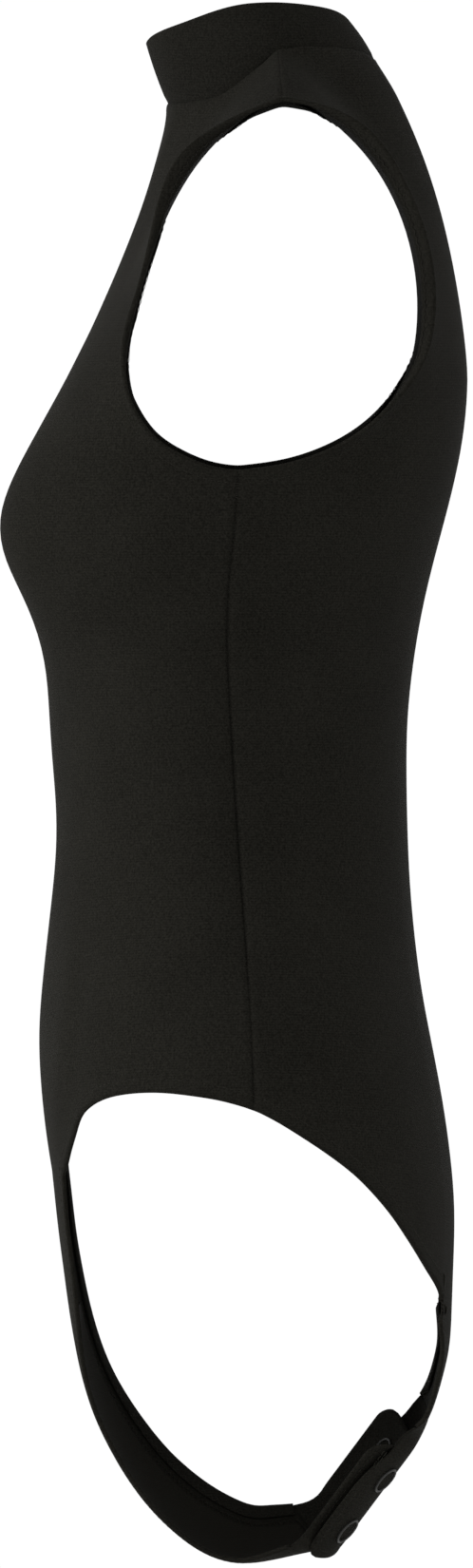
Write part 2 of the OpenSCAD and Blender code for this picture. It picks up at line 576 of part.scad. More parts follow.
front_panel();
back_panel();
collar();
gusset_lining();
armhole_hem(1);  // left_armhole_hem
armhole_hem(-1);  // right_armhole_hem
armhole_tape(1);  // left_armhole_tape
armhole_tape(-1);  // right_armhole_tape
leg_hem(1);  // left_leg_hem
leg_hem(-1);  // right_leg_hem
leg_elastic(1);  // left_leg_elastic
leg_elastic(-1);  // right_leg_elastic
shoulder_tape(1);  // left_shoulder_tape
shoulder_tape(-1);  // right_shoulder_tape
side_allowance(1);  // left_side_allowance
side_allowance(-1);  // right_side_allowance
front_tab();
back_flap();
snap_socket(1);  // socket_1
snap_socket(2);  // socket_2
snap_socket(3);  // socket_3
snap_socket(4);  // socket_4
socket_ring(1);  // socket_ring_1
socket_ring(2);  // socket_ring_2
socket_ring(3);  // socket_ring_3
socket_ring(4);  // socket_ring_4
snap_stud(1);  // stud_1
snap_stud(2);  // stud_2
snap_stud(3);  // stud_3
snap_stud(4);  // stud_4
stud_ring(1);  // stud_ring_1
stud_ring(2);  // stud_ring_2
stud_ring(3);  // stud_ring_3
stud_ring(4);  // stud_ring_4
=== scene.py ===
import json
import math

import bmesh
import bpy
import numpy as np
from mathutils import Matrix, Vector, noise
from mathutils.bvhtree import BVHTree


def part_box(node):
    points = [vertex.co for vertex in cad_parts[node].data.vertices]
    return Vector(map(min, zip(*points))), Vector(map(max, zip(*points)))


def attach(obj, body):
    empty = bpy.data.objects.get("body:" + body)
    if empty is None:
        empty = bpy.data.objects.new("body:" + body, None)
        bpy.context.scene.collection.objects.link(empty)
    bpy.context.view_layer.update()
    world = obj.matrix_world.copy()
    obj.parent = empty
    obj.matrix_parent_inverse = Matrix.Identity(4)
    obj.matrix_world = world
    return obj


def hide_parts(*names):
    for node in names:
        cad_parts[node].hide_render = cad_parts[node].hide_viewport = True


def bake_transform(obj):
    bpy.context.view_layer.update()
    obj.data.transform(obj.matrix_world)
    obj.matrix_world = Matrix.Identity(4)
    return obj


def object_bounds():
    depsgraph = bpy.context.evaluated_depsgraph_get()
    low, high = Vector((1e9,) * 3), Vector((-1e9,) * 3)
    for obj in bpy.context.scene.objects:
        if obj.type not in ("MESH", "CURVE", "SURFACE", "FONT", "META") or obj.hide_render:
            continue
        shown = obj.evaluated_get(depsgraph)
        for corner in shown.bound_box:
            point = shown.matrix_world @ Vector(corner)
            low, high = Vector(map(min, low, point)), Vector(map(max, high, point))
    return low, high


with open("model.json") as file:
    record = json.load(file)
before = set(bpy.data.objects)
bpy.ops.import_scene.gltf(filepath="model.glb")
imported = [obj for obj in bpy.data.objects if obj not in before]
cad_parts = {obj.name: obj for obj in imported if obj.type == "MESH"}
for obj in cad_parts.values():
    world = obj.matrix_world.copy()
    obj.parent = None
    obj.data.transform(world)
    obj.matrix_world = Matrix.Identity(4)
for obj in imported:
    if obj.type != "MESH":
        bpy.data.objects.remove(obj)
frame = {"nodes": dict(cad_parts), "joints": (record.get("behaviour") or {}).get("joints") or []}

MM = 0.001
cad_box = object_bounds()


# ---- Camera -----------------------------------------------------------------------------------
# A long lens about level with the lower part of the armholes, square to the wearer's left side
# and tipped slightly down, so that the whole garment just fills the tall frame.

low, high = (np.array(corner) for corner in cad_box)
camera_distance = 10.0
camera_rise = 235 * MM
frame_margin = 1.0065
frame_height = frame_margin * (high[2] - low[2])
sensor = 36.0
aim_shift = Vector((0, 1.2 * MM, -0.7 * MM))
aim = Vector((low + high) / 2) + aim_shift
aim.x = 0
lens = bpy.data.cameras.new("view")
lens.sensor_width = sensor
lens.lens = sensor * camera_distance / frame_height
lens.clip_end = 100
camera = bpy.data.objects.new("view", lens)
camera.location = aim + Vector((camera_distance, 0, camera_rise))
camera.rotation_euler = (aim - camera.location).to_track_quat("-Z", "Y").to_euler()
bpy.context.scene.collection.objects.link(camera)
bpy.context.scene.camera = camera


# ---- Room and light ---------------------------------------------------------------------------
# A white room, a pale round floor well below the garment, and three broad soft lights: one from
# the front, one beside the camera and one behind that draws the edge of the back.

def new_object(name, points, faces):
    """A smooth-shaded mesh in the scene."""
    mesh = bpy.data.meshes.new(name)
    mesh.from_pydata(np.asarray(points).tolist(), [], [tuple(map(int, f)) for f in faces])
    mesh.update()
    mesh.polygons.foreach_set("use_smooth", [True] * len(mesh.polygons))
    made = bpy.data.objects.new(name, mesh)
    bpy.context.scene.collection.objects.link(made)
    return made


bpy.context.scene.view_settings.view_transform = "Standard"
floor_drop, floor_radius, floor_sides = 0.6, 2.6, 96
floor_angles = np.linspace(0, 2 * math.pi, floor_sides, endpoint=False)
floor = new_object("floor", [(floor_radius * math.cos(a), floor_radius * math.sin(a),
                              low[2] - floor_drop) for a in floor_angles], [range(floor_sides)])
floor_paint = bpy.data.materials.new("pale floor")
floor_paint.use_nodes = True
floor_shader = floor_paint.node_tree.nodes["Principled BSDF"]
floor_shader.inputs["Base Color"].default_value = (0.8, 0.8, 0.79, 1)
floor_shader.inputs["Roughness"].default_value = 0.9
floor.data.materials.append(floor_paint)

world = bpy.data.worlds.new("white room")
bpy.context.scene.world = world
world.use_nodes = True
world.node_tree.nodes["Background"].inputs["Color"].default_value = (1, 1, 1, 1)
world.node_tree.nodes["Background"].inputs["Strength"].default_value = 1.02


def soft_light(name, place, size, power):
    """A rectangular softbox that faces the garment."""
    data = bpy.data.lights.new(name, "AREA")
    data.shape = "RECTANGLE"
    data.size, data.size_y = size
    data.energy = power
    light = bpy.data.objects.new(name, data)
    light.location = place
    light.rotation_euler = (aim - Vector(place)).to_track_quat("-Z", "Y").to_euler()
    bpy.context.scene.collection.objects.link(light)


soft_light("front softbox", (0.35, -2.9, 0.1), (0.8, 1.8), 90)
soft_light("side softbox", (3.2, 0.9, 1.4), (1.6, 2.0), 26)
soft_light("back softbox", (0.6, 2.8, 0.6), (0.8, 2.0), 6)


# ---- Front and back panels --------------------------------------------------------------------
# Two pieces of fine matt black cotton and elastane jersey, each cut in one with its crotch strip
# and stretched over the body. The frame's nets give their shape, read as smooth curves here.

# Cells of a panel's net from its middle to a side, of its strip from the middle to an edge, of the
# panel upward, up the side seam, from the middle to the neck's end, and of the strips downward.
ACROSS, STRIP, UP, SEAM_ROW, NECK_COL = 16, 3, 25, 12, 9
STRIP_ROWS = {"front_panel": 16, "back_panel": 6}
frame_wall = 1.0 * MM
frame_wall_spread = 0.05 * MM
same_point = 0.02 * MM
jersey = 0.9 * MM


def read_skin(node, wall):
    """The outer skin of a node's shell: each point's neighbours, and its edge loops."""
    bm = bmesh.new()
    bm.from_mesh(frame["nodes"][node].data)
    bmesh.ops.remove_doubles(bm, verts=bm.verts, dist=same_point)
    rim = [f for f in bm.faces
           if any(abs(e.calc_length() - wall) < frame_wall_spread for e in f.edges)]
    bmesh.ops.delete(bm, geom=rim, context="FACES")
    loose, skins = set(bm.faces), []
    while loose:
        skin, edge = set(), [next(iter(loose))]
        while edge:
            face = edge.pop()
            if face in loose:
                loose.discard(face)
                skin.add(face)
                edge += [g for e in face.edges for g in e.link_faces]
        skins.append(skin)
    outer = max(skins, key=lambda s: sum(f.calc_area() for f in s))
    near, border = {}, {}
    for face in outer:
        for e in face.edges:
            a, b = e.verts
            near.setdefault(a, set()).add(b)
            near.setdefault(b, set()).add(a)
            if sum(g in outer for g in e.link_faces) == 1:
                border.setdefault(a, []).append(b)
                border.setdefault(b, []).append(a)
    loops = []
    while border:
        loop = [next(iter(border))]
        while True:
            onward = [v for v in border[loop[-1]] if v not in loop]
            if not onward:
                break
            loop.append(onward[0])
        for v in loop:
            del border[v]
        loops.append(loop)
    return near, loops, bm


def fill_net(net, near, rows, cols):
    """Walks inward from a filled first row and side columns. Each new point is the neighbour that
    its two known neighbours share."""
    used = {v for row in net for v in row if v is not None}
    step = 1 if rows[-1] > rows[0] else -1
    for j in rows:
        for i in cols:
            if net[j][i] is None:
                shared = (near[net[j][i - 1]] & near[net[j - step][i]]) - used
                net[j][i] = min(shared, key=lambda v: (v.co - net[j][i - 1].co).length)
                used.add(net[j][i])


def read_nets(node):
    """The panel's net, rows upward and columns from the wearer's right to left, and the strip's
    net, rows downward."""
    near, loops, bm = read_skin(node, frame_wall)
    loop, strips, width, side = max(loops, key=len), STRIP_ROWS[node], 2 * ACROSS, ACROSS - STRIP
    tip = max(range(len(loop)), key=lambda k: loop[k].co.x + loop[k].co.z)
    loop = loop[tip:] + loop[:tip]
    if loop[1].co.x < loop[-1].co.x:
        loop = [loop[0]] + loop[:0:-1]
    panel = [[None] * (width + 1) for _ in range(UP + 1)]
    strip = [[None] * (2 * STRIP + 1) for _ in range(strips + 1)]
    walk = iter(loop)
    for j in range(UP, 0, -1):
        panel[j][width] = next(walk)
    for i in range(width, ACROSS + STRIP, -1):
        panel[0][i] = next(walk)
    for j in range(strips):
        strip[j][2 * STRIP] = next(walk)
    for i in range(2 * STRIP, 0, -1):
        strip[strips][i] = next(walk)
    for j in range(strips, 0, -1):
        strip[j][0] = next(walk)
    for i in range(side, 0, -1):
        panel[0][i] = next(walk)
    for j in range(UP):
        panel[j][0] = next(walk)
    for i in range(width):
        panel[UP][i] = next(walk)
    panel[0][ACROSS + STRIP] = strip[0][2 * STRIP]
    fill_net(panel, near, range(UP - 1, 0, -1), range(1, width))
    taken = {v for row in panel for v in row if v is not None}
    for i in range(side + 1, ACROSS + STRIP):
        shared = (near[panel[0][i - 1]] & near[panel[1][i]]) - taken
        panel[0][i] = min(shared, key=lambda v: (v.co - panel[0][i - 1].co).length)
        taken.add(panel[0][i])
    strip[0] = panel[0][side:ACROSS + STRIP + 1]
    fill_net(strip, near, range(1, strips), range(1, 2 * STRIP))
    nets = [np.array([[tuple(v.co) for v in row] for row in net]) for net in (panel, strip)]
    bm.free()
    return nets


def spline_weights(count, places):
    """Weights that read a smooth curve through count evenly spaced points at the given places."""
    system, bends = np.zeros((count, count)), np.zeros((count, count))
    system[0, 0] = system[-1, -1] = 1
    for k in range(1, count - 1):
        system[k, k - 1:k + 2] = (1, 4, 1)
        bends[k, k - 1:k + 2] = (6, -12, 6)
    curve = np.linalg.solve(system, bends)
    weights = np.zeros((len(places), count))
    for row, place in enumerate(places):
        k = min(int(place), count - 2)
        t = place - k
        weights[row, k] += 1 - t
        weights[row, k + 1] += t
        weights[row] += (((1 - t) ** 3 - (1 - t)) * curve[k] + (t ** 3 - t) * curve[k + 1]) / 6
    return weights


def refine(net, row_places, col_places):
    """A net read as a smooth sheet at the given rows and columns."""
    return np.einsum("rj,jix,ci->rcx", spline_weights(net.shape[0], row_places), net,
                     spline_weights(net.shape[1], col_places))


def places(count, steps, dense, dense_steps):
    """Places from 0 to count, with more of them in the dense cells."""
    found = [k + s / n for k in range(count) for n in [dense_steps if k in dense else steps]
             for s in range(n)]
    return np.array(found + [float(count)])


def unit(v):
    """Vectors made one long."""
    return v / np.maximum(np.linalg.norm(v, axis=-1, keepdims=True), 1e-12)


def grid_faces(index, flip=False):
    """The four-sided faces of a grid of point numbers."""
    a, b, c, d = index[:-1, :-1], index[:-1, 1:], index[1:, 1:], index[1:, :-1]
    quads = np.stack([a, b, c, d], axis=-1).reshape(-1, 4)
    return quads[:, ::-1] if flip else quads


def point_normals(points, faces):
    """The outward direction at each point, from the faces round it."""
    a, b, c, d = (points[faces[:, k]] for k in range(4))
    face_normals = np.cross(c - a, d - b)
    normals = np.zeros_like(points)
    for k in range(4):
        np.add.at(normals, faces[:, k], face_normals)
    return unit(normals)


def thickened(name, points, faces, depth):
    """A closed sheet: the outer skin, an inner one at the given depth, and a rim between them."""
    inner = points - point_normals(points, faces) * np.reshape(depth, (-1, 1))
    count, open_edges = len(points), {}
    for face in faces.tolist():
        for a, b in zip(face, face[1:] + face[:1]):
            if (b, a) in open_edges:
                del open_edges[(b, a)]
            else:
                open_edges[(a, b)] = True
    rim = [(b, a, a + count, b + count) for a, b in open_edges]
    return new_object(name, np.vstack([points, inner]),
                      faces.tolist() + (faces[:, ::-1] + count).tolist() + rim)


def bell(x, width):
    """A hump of height 1 at zero."""
    return np.exp(-(x / width) ** 2)


def smooth_step(x):
    """Rises softly from 0 to 1 as x does."""
    x = np.clip(x, 0, 1)
    return x * x * (3 - 2 * x)


def distance_to(points, line):
    """How far each point is from the nearest piece of an open line of points."""
    nearest = np.full(len(points), np.inf)
    for a, b in zip(line[:-1], line[1:]):
        run = b - a
        t = np.clip((points - a) @ run / max(run @ run, 1e-12), 0, 1)
        nearest = np.minimum(nearest, np.linalg.norm(points - a - t[:, None] * run, axis=1))
    return nearest


cell_steps, edge_cell_steps, strip_cell_steps, end_cell_steps = 4, 10, 5, 14
PANEL_COLS = places(2 * ACROSS, cell_steps,
                    (0, ACROSS - STRIP, ACROSS + STRIP - 1, 2 * ACROSS - 1), edge_cell_steps)
PANEL_ROWS = places(UP, cell_steps, (0, UP - 1), edge_cell_steps)
in_strip = (PANEL_COLS >= ACROSS - STRIP) & (PANEL_COLS <= ACROSS + STRIP)
STRIP_COLS = PANEL_COLS[in_strip] - (ACROSS - STRIP)
strip_first = int(np.argmax(in_strip))
seam_row = int(np.argmax(PANEL_ROWS >= SEAM_ROW))
neck_cols = (PANEL_COLS >= ACROSS - NECK_COL) & (PANEL_COLS <= ACROSS + NECK_COL)
root_part = 0.8                         # share of the last strip cell that the closure layer takes
corner_cells = 2.5                      # columns beside the seam that turn sharply at the armhole
fade_cells = 3                          # rows over which a strip takes up its panel's lower edge
# The back strip is drawn in a little above its hinge, and the yoke above yoke_from is eased.
hinge_waist, waist_back, waist_spread = 0.24, 0.2, 1.5
yoke_from, yoke_fade, yoke_passes, yoke_pull, yoke_refresh = 17.5, 2, 150, 0.5, 15


class Cut:
    """One cut piece: a panel grid, and a strip grid that runs on into its closure layer."""

    def __init__(self, node, tail, tail_rows):
        self.node, self.front = node, node == "front_panel"
        net, strip_net = read_nets(node)
        self.joint_row = strip_net.shape[0] - 1
        strip_net = np.vstack([strip_net, tail])
        rows = self.joint_row + tail_rows
        self.strip_rows = places(rows, strip_cell_steps, (rows - 1,), end_cell_steps)
        panel = self.panel_grid(net)
        self.strip = self.strip_grid(strip_net, panel[0, strip_first:strip_first + len(STRIP_COLS)])
        self.root_rows = int(np.sum(self.strip_rows <= self.joint_row - root_part + 1e-9))
        body = self.strip[1:self.root_rows]
        count = panel.shape[0] * panel.shape[1]
        self.panel_index = np.arange(count).reshape(panel.shape[:2])
        self.strip_index = np.vstack([
            self.panel_index[0, strip_first:strip_first + len(STRIP_COLS)],
            count + np.arange(body.shape[0] * body.shape[1]).reshape(body.shape[:2])])
        self.points = np.vstack([panel.reshape(-1, 3), body.reshape(-1, 3)])
        self.faces = np.vstack([grid_faces(self.panel_index, not self.front),
                                grid_faces(self.strip_index, self.front)])
        self.normals = point_normals(self.points, self.faces)
        self.ease_yoke()

    def panel_grid(self, net):
        """Smooth over the whole panel, but with a sharp turn where the seam meets the armhole."""
        panel = refine(net, PANEL_ROWS, PANEL_COLS)
        below = refine(net[:SEAM_ROW + 1], PANEL_ROWS[:seam_row + 1], PANEL_COLS)
        above = refine(net[SEAM_ROW:], PANEL_ROWS[seam_row + 1:] - SEAM_ROW, PANEL_COLS)
        to_side = np.minimum(PANEL_COLS, 2 * ACROSS - PANEL_COLS)
        cornered = np.clip(1 - to_side / corner_cells, 0, 1)[None, :, None]
        return panel + cornered * (np.vstack([below, above]) - panel)

    def strip_grid(self, net, panel_edge):
        """Starts on the panel's own edge, and on the back it is drawn in to a waist at the fold."""
        strip = refine(net, self.strip_rows, STRIP_COLS)
        fade = np.clip(1 - self.strip_rows / fade_cells, 0, 1)[:, None, None] ** 2
        strip += fade * (panel_edge - strip[0])
        self.narrow = 1 - (0 if self.front else hinge_waist) * bell(
            self.strip_rows - self.joint_row + waist_back, waist_spread)
        rows = spline_weights(net.shape[0], self.strip_rows)
        for k in np.where(self.narrow < 0.999)[0]:
            across = spline_weights(net.shape[1], STRIP + (STRIP_COLS - STRIP) * self.narrow[k])
            strip[k] = across @ np.einsum("j,jix->ix", rows[k], net)
        return strip

    def ease_yoke(self):
        """Lets the cloth over the shoulders settle into one smooth curve between fixed edges."""
        inner = self.panel_index[1:-1, 1:-1]
        share = smooth_step((PANEL_ROWS[1:-1] - yoke_from) / yoke_fade)[:, None, None]
        for turn in range(1, yoke_passes + 1):
            grid = self.points[self.panel_index]
            around = (grid[2:, 1:-1] + grid[:-2, 1:-1] + grid[1:-1, 2:] + grid[1:-1, :-2]) / 4
            lean = self.normals[inner]
            lift = np.sum((around - grid[1:-1, 1:-1]) * lean, axis=2, keepdims=True)
            self.points[inner] += yoke_pull * share * lift * lean
            if turn % yoke_refresh == 0:
                self.normals = point_normals(self.points, self.faces)


# The closure under the crotch is a band on the diagonal, curled up at its edges. Its own
# directions come from the hinge and the snaps: across the band, along it and in to the body.
def middle(node):
    """The middle of a node's box."""
    corner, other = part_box(node)
    return (np.array(corner) + np.array(other)) / 2


joints = {joint["name"]: joint for joint in frame["joints"]}
band_across = np.array(joints["front_tab_fold"]["axis"])
band_along = unit(middle("socket_4") - middle("socket_2"))
band_in = np.cross(band_across, band_along)
flap_hinge_place = np.array(joints["back_flap_fold"]["pos_m"])
tab_hinge_place = np.array(joints["front_tab_fold"]["pos_m"])
flap_hinge = 46 * MM
band_outside = 49.6 * MM
hinge_proud = 0.6 * MM
band_axis = flap_hinge_place - flap_hinge * band_along + (band_outside + hinge_proud) * band_in
band_half = 41 * MM
tab_radius, flap_radius = 45.5 * MM, 49.6 * MM
tab_from, tab_to = -24 * MM, 40.5 * MM
flap_to = -30 * MM
corner_round = 10 * MM
TAB_ROWS, FLAP_ROWS = 5, 6


def on_band(radius, along, across):
    """A place on the closure band, along it and across it, both in metres of cloth."""
    turn = across / radius
    return (band_axis + band_along * along + band_across * radius * math.sin(turn)
            - band_in * radius * math.cos(turn))


def band_net(radius, start, stop, rows):
    """The rows of net that carry a strip on into its closure layer."""
    return np.array([[on_band(radius, start + (stop - start) * k / rows, band_half * i / STRIP)
                      for i in range(-STRIP, STRIP + 1)] for k in range(1, rows + 1)])


front = Cut("front_panel", band_net(tab_radius, tab_from, tab_to, TAB_ROWS), TAB_ROWS)
back = Cut("back_panel", band_net(flap_radius, flap_hinge, flap_to, FLAP_ROWS), FLAP_ROWS)
cuts = (front, back)
last_col = len(PANEL_COLS) - 1


def arm_line(cut, side):
    """A cut's armhole edge, from the side seam up. Side is 1 on the left and -1 on the right."""
    return cut.panel_index[seam_row:, last_col if side > 0 else 0]


def leg_line(cut, side):
    """A cut's leg edge, from the end of the strip to the side seam."""
    strip_end = len(STRIP_COLS) - 1 if side > 0 else 0
    row = cut.panel_index[0, strip_first + strip_end:] if side > 0 \
        else cut.panel_index[0, :strip_first + 1][::-1]
    return np.concatenate([cut.strip_index[:0:-1, strip_end], row])


def seam_line(cut, side):
    """A cut's side seam, from the leg up to the armhole."""
    return cut.panel_index[:seam_row + 1, last_col if side > 0 else 0]


def shoulder_line(cut, side):
    """A cut's shoulder seam."""
    row = cut.panel_index[-1]
    first = int(np.argmax(neck_cols))
    return row[last_col - first:] if side > 0 else row[:first + 1][::-1]


# How the cloth lies: hems stand slightly proud with a groove under their stitches, seams sink in
# and pucker a little, and the jersey has faint broad drags, one of them beside each hip bone.
hem_width, stitch_in = 8 * MM, 6.2 * MM
hem_rise, hem_past, hem_fade = 0.35 * MM, 1.5 * MM, 2.5 * MM
stitch_sink, stitch_spread = 0.3 * MM, 1.0 * MM
seam_sink, seam_spread, seam_clear, seam_at_hem = 1.1 * MM, 1.4 * MM, 6 * MM, 0.2
pucker, pucker_pitch = 0.14 * MM, 8 * MM
pucker_slant, pucker_from, pucker_spread = 0.7, 3 * MM, 2.5 * MM
drag, drag_size, drag_length, drag_clear = 0.55 * MM, 55 * MM, 3, 30 * MM
hip_drag = ((-101 * MM, -448 * MM), (-109 * MM, -546 * MM))
hip_drag_width, hip_crest, hip_furrow, furrow_back = 5 * MM, 0.9 * MM, 0.7 * MM, 8 * MM


def drag_at(p):
    """A faint broad drag, longer upward than across."""
    broad = noise.noise(Vector((p[0] / drag_size, p[1] / drag_size, p[2] / (drag_length * drag_size))))
    return drag * broad


def hip_fold(points):
    """A long crest with a furrow behind it, beside each hip bone."""
    (y0, z0), (y1, z1) = hip_drag
    t = np.clip((points[:, 2] - z0) / (z1 - z0), -0.3, 1.3)
    off = points[:, 1] - (y0 + (y1 - y0) * t)
    length = bell(t - 0.5, 0.55)
    return length * (hip_crest * bell(off, hip_drag_width)
                     - hip_furrow * bell(off - furrow_back, hip_drag_width))


for cut in cuts:
    points = cut.points
    hems = [find(cut, side) for find in (arm_line, leg_line) for side in (-1, 1)]
    seams = [find(cut, side) for find in (seam_line, shoulder_line) for side in (-1, 1)]
    seams.append(cut.panel_index[-1, neck_cols])
    to_hem, to_seam = (np.min([distance_to(points, points[line]) for line in lines], axis=0)
                       for lines in (hems, seams))
    rise = hem_rise * smooth_step((hem_width + hem_past - to_hem) / hem_fade)
    rise -= stitch_sink * bell(to_hem - stitch_in, stitch_spread)
    wave = np.sin((points[:, 2] + pucker_slant * points[:, 0]) * 2 * math.pi / pucker_pitch)
    rise += pucker * wave * bell(to_seam - pucker_from, pucker_spread)
    rise -= seam_sink * bell(to_seam, seam_spread) * smooth_step(to_hem / seam_clear + seam_at_hem)
    rise += np.array([drag_at(p) for p in points]) * smooth_step(to_hem / drag_clear)
    if cut.front:
        rise += hip_fold(points)
    cut.points = points + cut.normals * rise[:, None]
    cut.normals = point_normals(cut.points, cut.faces)
    cut.strip[1:cut.root_rows] = cut.points[cut.strip_index[1:]]

for find in (seam_line, shoulder_line):
    for side in (-1, 1):
        a, b = find(front, side), find(back, side)
        shared = (front.points[a] + back.points[b]) / 2
        front.points[a], back.points[b] = shared, shared
        lean = unit(front.normals[a] + back.normals[b])
        front.normals[a], back.normals[b] = lean, lean


class Wire:
    """A socket in a finish's node tree. Sums and products on wires add their Math nodes."""

    def __init__(self, socket):
        self.socket = socket

    def node(self, kind, settings=None, values=None, out=0):
        """Adds a node: its settings are set first, then the values or wires of its sockets."""
        tree = self.socket.id_data
        made = tree.nodes.new(kind)
        for key, value in (settings or {}).items():
            if key == "stops":
                for stop, (where, level) in zip(made.color_ramp.elements, value):
                    stop.position, stop.color = where, (*[level] * 3, 1)
            else:
                setattr(made, key, value)
        for key, value in (values or {}).items():
            if isinstance(value, Wire):
                tree.links.new(value.socket, made.inputs[key])
            else:
                made.inputs[key].default_value = value
        return Wire(made.outputs[out])

    def math(self, how, first, second):
        return self.node("ShaderNodeMath", {"operation": how}, {0: first, 1: second})

    def __add__(self, other):
        return self.math("ADD", self, other)

    def __mul__(self, other):
        return self.math("MULTIPLY", self, other)

    def __sub__(self, other):
        return self.math("SUBTRACT", self, other)

    def __rsub__(self, other):
        return self.math("SUBTRACT", other, self)

    __radd__, __rmul__ = __add__, __mul__


def new_finish(name, shine):
    """A new material with the given specular level, its shader, and a wire of places in metres."""
    finish = bpy.data.materials.new(name)
    finish.use_nodes = True
    shader = finish.node_tree.nodes["Principled BSDF"]
    shader.inputs["Specular IOR Level"].default_value = shine
    place = Wire(finish.node_tree.nodes.new("ShaderNodeTexCoord").outputs["Object"])
    return finish, shader, place


def plug(shader, name, wire):
    """Feeds one of a shader's sockets."""
    wire.socket.id_data.links.new(wire.socket, shader.inputs[name])


def shade(place, mask, dark, light):
    """A colour between two, by a mask."""
    return place.node("ShaderNodeMix", {"data_type": "RGBA"},
                      {"Factor": mask, "A": (*dark, 1), "B": (*light, 1)}, out="Result")


def grain(place, size, detail=2.0):
    """Noise from 0 to 1, with grains of the given size."""
    return place.node("ShaderNodeTexNoise", None,
                      {"Vector": place, "Scale": 1 / size, "Detail": detail}, out="Fac")


def patches(place, size, detail, low, high):
    """The same noise made steeper: 0 where it is under low, and 1 where it is over high."""
    return place.node("ShaderNodeValToRGB", {"stops": ((low, 0), (high, 1))},
                      {"Fac": grain(place, size, detail)}, out="Color")


wave_scale = 0.314                      # the wave texture's scale for bands one metre apart


def courses(place, pitch, direction="Z", wobble=1.2):
    """Fine rows of knitting, from 0 in the gaps to 1 on the loops."""
    return place.node("ShaderNodeTexWave", {"bands_direction": direction},
                      {"Vector": place, "Scale": wave_scale / pitch, "Distortion": wobble,
                       "Detail": 2.0, "Detail Scale": 1.5}, out="Fac")


def raise_bump(shader, place, height, depth, strength=0.6):
    """Fine relief, depth metres from its lows to its highs."""
    plug(shader, "Normal", place.node("ShaderNodeBump", None,
                                      {"Strength": strength, "Distance": depth, "Height": height}))


def knit_finish(name, dark, light, pitch=0.75 * MM, rough=0.95):
    """Matt jersey: rows of loops, hairy yarn, faint broad shading and patches of lint."""
    finish, shader, place = new_finish(name, 0.03)
    rows = courses(place, pitch)
    ribs = courses(place, 1.3 * pitch, "X", 2.0)
    yarn = patches(place, 1.0 * MM, 4.0, 0.34, 0.68)
    broad = grain(place, 45 * MM)
    lint = patches(place, 3 * MM, 4.0, 0.55, 0.8)
    mask = 0.3 * rows + 0.45 * yarn + 0.25 * broad
    plug(shader, "Base Color", shade(place, mask, dark, light))
    plug(shader, "Roughness", rough + 0.07 * (lint - 0.5))
    raise_bump(shader, place, rows * 0.5 + ribs * 0.2 + yarn * 0.5, 0.16 * MM)
    return finish


black_dark, black_light = (0.0012, 0.0011, 0.0007), (0.0146, 0.0139, 0.0114)
body_jersey = knit_finish("black cotton jersey", black_dark, black_light)


def dress(piece, finish, slot, *nodes, body="root"):
    """Gives a piece its finish, hides the nodes it stands for and hangs it on the body it rides on.
    The slot is not used.
    """
    piece.data.materials.append(finish)
    if nodes:
        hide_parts(*nodes)
    if body:
        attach(piece, body)
    return piece


for cut in cuts:
    cut.cloth = dress(thickened(f"{cut.node}_cloth", cut.points, cut.faces, jersey),
                      body_jersey, "body_jersey", cut.node)

skin_points = np.vstack([front.points, back.points])
skin_faces = np.vstack([front.faces, back.faces + len(front.points)])
skin = BVHTree.FromPolygons(skin_points.tolist(), skin_faces.tolist())


# ---- Turned hems ------------------------------------------------------------------------------
# At the armholes and legs the jersey is turned in once, 8 mm wide, and sewn down with one row of
# fine stitches 6 mm from the fold. Inside, an overlock thread covers the raw edge.

track_step = 2.0 * MM
track_passes = 2


def even_track(points, normals, cloth, step=track_step, ring=False):
    """Evenly spaced stations along an edge: place, outward direction, and direction to the cloth."""
    if ring:
        points, normals, cloth = (np.vstack([a, a[:1]]) for a in (points, normals, cloth))
    along = np.concatenate([[0], np.cumsum(np.linalg.norm(np.diff(points, axis=0), axis=1))])
    count = int(round(along[-1] / step))
    at = np.linspace(0, along[-1], count, endpoint=not ring)
    place, lean, to = (np.stack([np.interp(at, along, a[:, k]) for k in range(3)], axis=1)
                       for a in (points, normals, cloth))
    inner = slice(None) if ring else slice(1, -1)
    for _ in range(track_passes):
        for a in (place, lean, to):
            eased = (np.roll(a, 1, axis=0) + 2 * a + np.roll(a, -1, axis=0)) / 4
            a[inner] = eased[inner]
    run = np.roll(place, -1, axis=0) - np.roll(place, 1, axis=0)
    if not ring:
        run[0], run[-1] = place[1] - place[0], place[-1] - place[-2]
    run = unit(run)
    lean = unit(lean - run * np.sum(run * lean, axis=1, keepdims=True))
    across = np.cross(lean, run)
    sign = np.sign(np.sum(np.sum(across * to, axis=1)))
    return place, lean, across * sign


def edge_and_cloth(cut, line, inner):
    """An edge's places and outward directions, and the ways from it to a line further in."""
    return cut.points[line], cut.normals[line], cut.points[inner] - cut.points[line]


def arm_track(side):
    """Once round an armhole: up the front edge and down the back one."""
    col, inward = (last_col, -1) if side > 0 else (0, 1)
    up, down = front.panel_index[seam_row:], back.panel_index[seam_row + 1:-1][::-1]
    parts = [edge_and_cloth(front, up[:, col], up[:, col + inward]),
             edge_and_cloth(back, down[:, col], down[:, col + inward])]
    return even_track(*(np.vstack(p) for p in zip(*parts)), ring=True)


def leg_part(cut, side):
    """One cut's share of a leg opening, from the strip's end to the side seam."""
    end = len(STRIP_COLS) - 1 if side > 0 else 0
    strip_inner = cut.strip_index[:0:-1, end - side * 2]
    row = cut.panel_index[3]
    row = row[strip_first + end:] if side > 0 else row[:strip_first + 1][::-1]
    return edge_and_cloth(cut, leg_line(cut, side), np.concatenate([strip_inner, row]))


def leg_track(side):
    """Along a leg opening: up the front's share and down the back's."""
    parts = zip(leg_part(front, side), leg_part(back, side))
    return even_track(*(np.vstack([up, down[::-1][1:]]) for up, down in parts))


